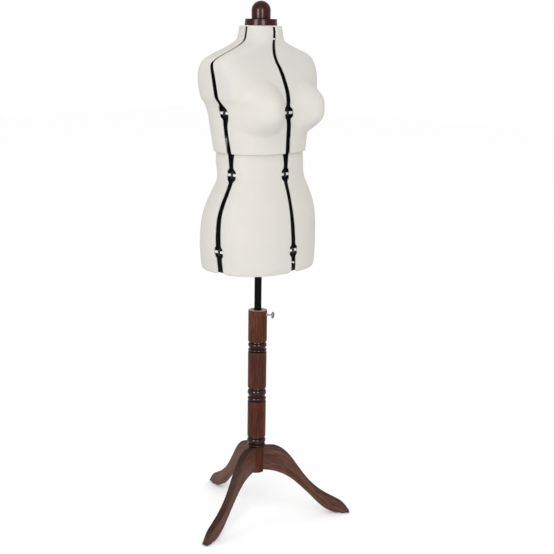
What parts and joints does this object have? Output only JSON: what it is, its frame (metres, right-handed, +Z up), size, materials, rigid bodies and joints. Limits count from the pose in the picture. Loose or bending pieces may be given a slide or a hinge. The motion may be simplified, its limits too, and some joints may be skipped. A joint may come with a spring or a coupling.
{
  "type": "adjustable dress form on a tripod stand",
  "caption": "Adjustable tailor's dress form: fabric-covered torso panels spread by thumbwheels, on a telescoping pole in a turned wooden tripod stand.",
  "frame": {"origin": "on the floor, under the middle of the whole form's bounding box; the pole stands at x 0.041, y -0.027", "axes": "+Z up the pole; the figure faces -Y and its own right side is at -X"},
  "size_m": [0.465, 0.4782, 1.4753],
  "materials": {
    "post_wood": "mahogany stain under semi-gloss lacquer",
    "leg_wood": "mahogany stain under semi-gloss lacquer",
    "cover_fabric": "off-white knitted cover over a moulded shell",
    "strip_plastic": "black moulded plastic",
    "core_plastic": "black moulded plastic",
    "wheel_plastic": "dark grey moulded plastic with a knurled rim",
    "nut_plastic": "white nylon",
    "knob_plastic": "dark brown polished plastic",
    "pole_paint": "black satin enamel",
    "screw_chrome": "nickel plated",
    "bolt_zinc": "zinc plated",
    "insert_brass": "turned",
    "pad_rubber": "matt"
  },
  "bodies": {
    "stand": {"post": "post_wood", "leg_1": "leg_wood", "leg_bolt_1": "bolt_zinc", "leg_dowel_1": "leg_wood", "foot_pad_1": "pad_rubber", "leg_2": "leg_wood", "leg_bolt_2": "bolt_zinc", "leg_dowel_2": "leg_wood", "foot_pad_2": "pad_rubber", "leg_3": "leg_wood", "leg_bolt_3": "bolt_zinc", "leg_dowel_3": "leg_wood", "foot_pad_3": "pad_rubber", "post_bush": "core_plastic", "clamp_insert": "insert_brass"},
    "clamp_pad": {"clamp_pad": "pad_rubber"},
    "clamp_screw": {"clamp_screw": "screw_chrome"},
    "pole": {"pole": "pole_paint", "pole_plug": "core_plastic"},
    "neck": {"neck_core": "core_plastic", "neck_plate": "core_plastic", "neck_flange": "knob_plastic", "neck_knob": "knob_plastic", "knob_bolt": "bolt_zinc"},
    "upper_front_strip": {"upper_front_strip": "strip_plastic", "neck_stud_front": "nut_plastic"},
    "upper_back_strip": {"upper_back_strip": "strip_plastic", "neck_stud_back": "nut_plastic"},
    "upper_right_strip": {"upper_right_strip": "strip_plastic"},
    "upper_left_strip": {"upper_left_strip": "strip_plastic"},
    "lower_front_strip": {"lower_front_strip": "strip_plastic", "hem_stud_front": "nut_plastic"},
    "lower_back_strip": {"lower_back_strip": "strip_plastic", "hem_stud_back": "nut_plastic"},
    "lower_right_strip": {"lower_right_strip": "strip_plastic"},
    "lower_left_strip": {"lower_left_strip": "strip_plastic"},
    "upper_front_right_panel": {"upper_front_right_panel": "cover_fabric"},
    "upper_front_left_panel": {"upper_front_left_panel": "cover_fabric"},
    "upper_back_right_panel": {"upper_back_right_panel": "cover_fabric"},
    "upper_back_left_panel": {"upper_back_left_panel": "cover_fabric"},
    "lower_front_right_panel": {"lower_front_right_panel": "cover_fabric"},
    "lower_front_left_panel": {"lower_front_left_panel": "cover_fabric"},
    "lower_back_right_panel": {"lower_back_right_panel": "cover_fabric"},
    "lower_back_left_panel": {"lower_back_left_panel": "cover_fabric"},
    "bust_wheel_front": {"bust_wheel_front": "wheel_plastic"},
    "bust_wheel_back": {"bust_wheel_back": "wheel_plastic"},
    "bust_wheel_right": {"bust_wheel_right": "wheel_plastic"},
    "bust_wheel_left": {"bust_wheel_left": "wheel_plastic"},
    "waist_wheel_front": {"waist_wheel_front": "wheel_plastic"},
    "waist_wheel_back": {"waist_wheel_back": "wheel_plastic"},
    "waist_wheel_right": {"waist_wheel_right": "wheel_plastic"},
    "waist_wheel_left": {"waist_wheel_left": "wheel_plastic"},
    "hip_wheel_front": {"hip_wheel_front": "wheel_plastic"},
    "hip_wheel_back": {"hip_wheel_back": "wheel_plastic"},
    "hip_wheel_right": {"hip_wheel_right": "wheel_plastic"},
    "hip_wheel_left": {"hip_wheel_left": "wheel_plastic"}
  },
  "joints": [
    {"name": "clamp_travel", "type": "slide", "parent": "stand", "child": "clamp_pad", "axis": [0.342, -0.9397, 0], "range_m": [0, 0.0035]},
    {"name": "clamp_turn", "type": "hinge", "parent": "clamp_pad", "child": "clamp_screw", "pos_m": [0.041, -0.027, 0.604], "axis": [0.342, -0.9397, 0], "range_deg": [0, 1260]},
    {"name": "pole_height", "type": "slide", "parent": "stand", "child": "pole", "axis": [0, 0, 1], "range_m": [-0.11, 0.14]},
    {"name": "torso_swivel", "type": "hinge", "parent": "pole", "child": "neck", "pos_m": [0.041, -0.027, 1.37], "axis": [0, 0, 1], "continuous": true},
    {"name": "depth_spread", "type": "slide", "parent": "neck", "child": "upper_front_strip", "axis": [0, -1, 0], "range_m": [0, 0.018]},
    {"name": "depth_spread_back", "type": "slide", "parent": "neck", "child": "upper_back_strip", "axis": [0, 1, 0], "range_m": [0, 0.018]},
    {"name": "width_spread", "type": "slide", "parent": "upper_front_strip", "child": "upper_front_right_panel", "axis": [-1, 0, 0], "range_m": [0, 0.018]},
    {"name": "width_spread_front_left", "type": "slide", "parent": "upper_front_strip", "child": "upper_front_left_panel", "axis": [1, 0, 0], "range_m": [0, 0.018]},
    {"name": "width_spread_back_right", "type": "slide", "parent": "upper_back_strip", "child": "upper_back_right_panel", "axis": [-1, 0, 0], "range_m": [0, 0.018]},
    {"name": "width_spread_back_left", "type": "slide", "parent": "upper_back_strip", "child": "upper_back_left_panel", "axis": [1, 0, 0], "range_m": [0, 0.018]},
    {"name": "width_spread_right_strip", "type": "slide", "parent": "neck", "child": "upper_right_strip", "axis": [-1, 0, 0], "range_m": [0, 0.018]},
    {"name": "width_spread_left_strip", "type": "slide", "parent": "neck", "child": "upper_left_strip", "axis": [1, 0, 0], "range_m": [0, 0.018]},
    {"name": "torso_length", "type": "slide", "parent": "upper_front_right_panel", "child": "lower_front_right_panel", "axis": [0, 0, -1], "range_m": [0, 0.035]},
    {"name": "torso_length_front_left", "type": "slide", "parent": "upper_front_left_panel", "child": "lower_front_left_panel", "axis": [0, 0, -1], "range_m": [0, 0.035]},
    {"name": "torso_length_back_right", "type": "slide", "parent": "upper_back_right_panel", "child": "lower_back_right_panel", "axis": [0, 0, -1], "range_m": [0, 0.035]},
    {"name": "torso_length_back_left", "type": "slide", "parent": "upper_back_left_panel", "child": "lower_back_left_panel", "axis": [0, 0, -1], "range_m": [0, 0.035]},
    {"name": "torso_length_front_strip", "type": "slide", "parent": "upper_front_strip", "child": "lower_front_strip", "axis": [0, 0, -1], "range_m": [0, 0.035]},
    {"name": "torso_length_back_strip", "type": "slide", "parent": "upper_back_strip", "child": "lower_back_strip", "axis": [0, 0, -1], "range_m": [0, 0.035]},
    {"name": "torso_length_right_strip", "type": "slide", "parent": "upper_right_strip", "child": "lower_right_strip", "axis": [0, 0, -1], "range_m": [0, 0.035]},
    {"name": "torso_length_left_strip", "type": "slide", "parent": "upper_left_strip", "child": "lower_left_strip", "axis": [0, 0, -1], "range_m": [0, 0.035]},
    {"name": "bust_wheel_front_turn", "type": "hinge", "parent": "upper_front_strip", "child": "bust_wheel_front", "pos_m": [0.041, -0.12276, 1.179], "axis": [1, 0, 0], "range_deg": [0, 1082]},
    {"name": "bust_wheel_back_turn", "type": "hinge", "parent": "upper_back_strip", "child": "bust_wheel_back", "pos_m": [0.041, 0.08398, 1.179], "axis": [1, 0, 0], "range_deg": [0, 1082]},
    {"name": "bust_wheel_right_turn", "type": "hinge", "parent": "upper_right_strip", "child": "bust_wheel_right", "pos_m": [-0.09945, -0.02974, 1.179], "axis": [0, 1, 0], "range_deg": [0, 1082]},
    {"name": "bust_wheel_left_turn", "type": "hinge", "parent": "upper_left_strip", "child": "bust_wheel_left", "pos_m": [0.18145, -0.02974, 1.179], "axis": [0, 1, 0], "range_deg": [0, 1082]},
    {"name": "waist_wheel_front_turn", "type": "hinge", "parent": "lower_front_strip", "child": "waist_wheel_front", "pos_m": [0.041, -0.11607, 1.012], "axis": [1, 0, 0], "range_deg": [0, 1082]},
    {"name": "waist_wheel_back_turn", "type": "hinge", "parent": "lower_back_strip", "child": "waist_wheel_back", "pos_m": [0.041, 0.06299, 1.012], "axis": [1, 0, 0], "range_deg": [0, 1082]},
    {"name": "waist_wheel_right_turn", "type": "hinge", "parent": "lower_right_strip", "child": "waist_wheel_right", "pos_m": [-0.08152, -0.04237, 1.012], "axis": [0, 1, 0], "range_deg": [0, 1082]},
    {"name": "waist_wheel_left_turn", "type": "hinge", "parent": "lower_left_strip", "child": "waist_wheel_left", "pos_m": [0.16352, -0.04237, 1.012], "axis": [0, 1, 0], "range_deg": [0, 1082]},
    {"name": "hip_wheel_front_turn", "type": "hinge", "parent": "lower_front_strip", "child": "hip_wheel_front", "pos_m": [0.041, -0.1499, 0.805], "axis": [1, 0, 0], "range_deg": [0, 1082]},
    {"name": "hip_wheel_back_turn", "type": "hinge", "parent": "lower_back_strip", "child": "hip_wheel_back", "pos_m": [0.041, 0.10937, 0.805], "axis": [1, 0, 0], "range_deg": [0, 1082]},
    {"name": "hip_wheel_right_turn", "type": "hinge", "parent": "lower_right_strip", "child": "hip_wheel_right", "pos_m": [-0.12256, -0.03498, 0.805], "axis": [0, 1, 0], "range_deg": [0, 1082]},
    {"name": "hip_wheel_left_turn", "type": "hinge", "parent": "lower_left_strip", "child": "hip_wheel_left", "pos_m": [0.20456, -0.03498, 0.805], "axis": [0, 1, 0], "range_deg": [0, 1082]}
  ],
  "couplings": [
    {"joint": "clamp_travel", "follows": "clamp_turn", "m_per_rad": 0.00015915},
    {"joint": "depth_spread_back", "follows": "depth_spread", "ratio": 1},
    {"joint": "width_spread_front_left", "follows": "width_spread", "ratio": 1},
    {"joint": "width_spread_back_right", "follows": "width_spread", "ratio": 1},
    {"joint": "width_spread_back_left", "follows": "width_spread", "ratio": 1},
    {"joint": "width_spread_right_strip", "follows": "width_spread", "ratio": 1},
    {"joint": "width_spread_left_strip", "follows": "width_spread", "ratio": 1},
    {"joint": "torso_length_front_left", "follows": "torso_length", "ratio": 1},
    {"joint": "torso_length_back_right", "follows": "torso_length", "ratio": 1},
    {"joint": "torso_length_back_left", "follows": "torso_length", "ratio": 1},
    {"joint": "torso_length_front_strip", "follows": "torso_length", "ratio": 1},
    {"joint": "torso_length_back_strip", "follows": "torso_length", "ratio": 1},
    {"joint": "torso_length_right_strip", "follows": "torso_length", "ratio": 1},
    {"joint": "torso_length_left_strip", "follows": "torso_length", "ratio": 1},
    {"joint": "bust_wheel_front_turn", "follows": "width_spread", "rad_per_m": 1047.2},
    {"joint": "bust_wheel_back_turn", "follows": "width_spread", "rad_per_m": 1047.2},
    {"joint": "bust_wheel_right_turn", "follows": "depth_spread", "rad_per_m": 1047.2},
    {"joint": "bust_wheel_left_turn", "follows": "depth_spread", "rad_per_m": 1047.2},
    {"joint": "waist_wheel_front_turn", "follows": "width_spread", "rad_per_m": 1047.2},
    {"joint": "waist_wheel_back_turn", "follows": "width_spread", "rad_per_m": 1047.2},
    {"joint": "waist_wheel_right_turn", "follows": "depth_spread", "rad_per_m": 1047.2},
    {"joint": "waist_wheel_left_turn", "follows": "depth_spread", "rad_per_m": 1047.2},
    {"joint": "hip_wheel_front_turn", "follows": "width_spread", "rad_per_m": 1047.2},
    {"joint": "hip_wheel_back_turn", "follows": "width_spread", "rad_per_m": 1047.2},
    {"joint": "hip_wheel_right_turn", "follows": "depth_spread", "rad_per_m": 1047.2},
    {"joint": "hip_wheel_left_turn", "follows": "depth_spread", "rad_per_m": 1047.2}
  ]
}
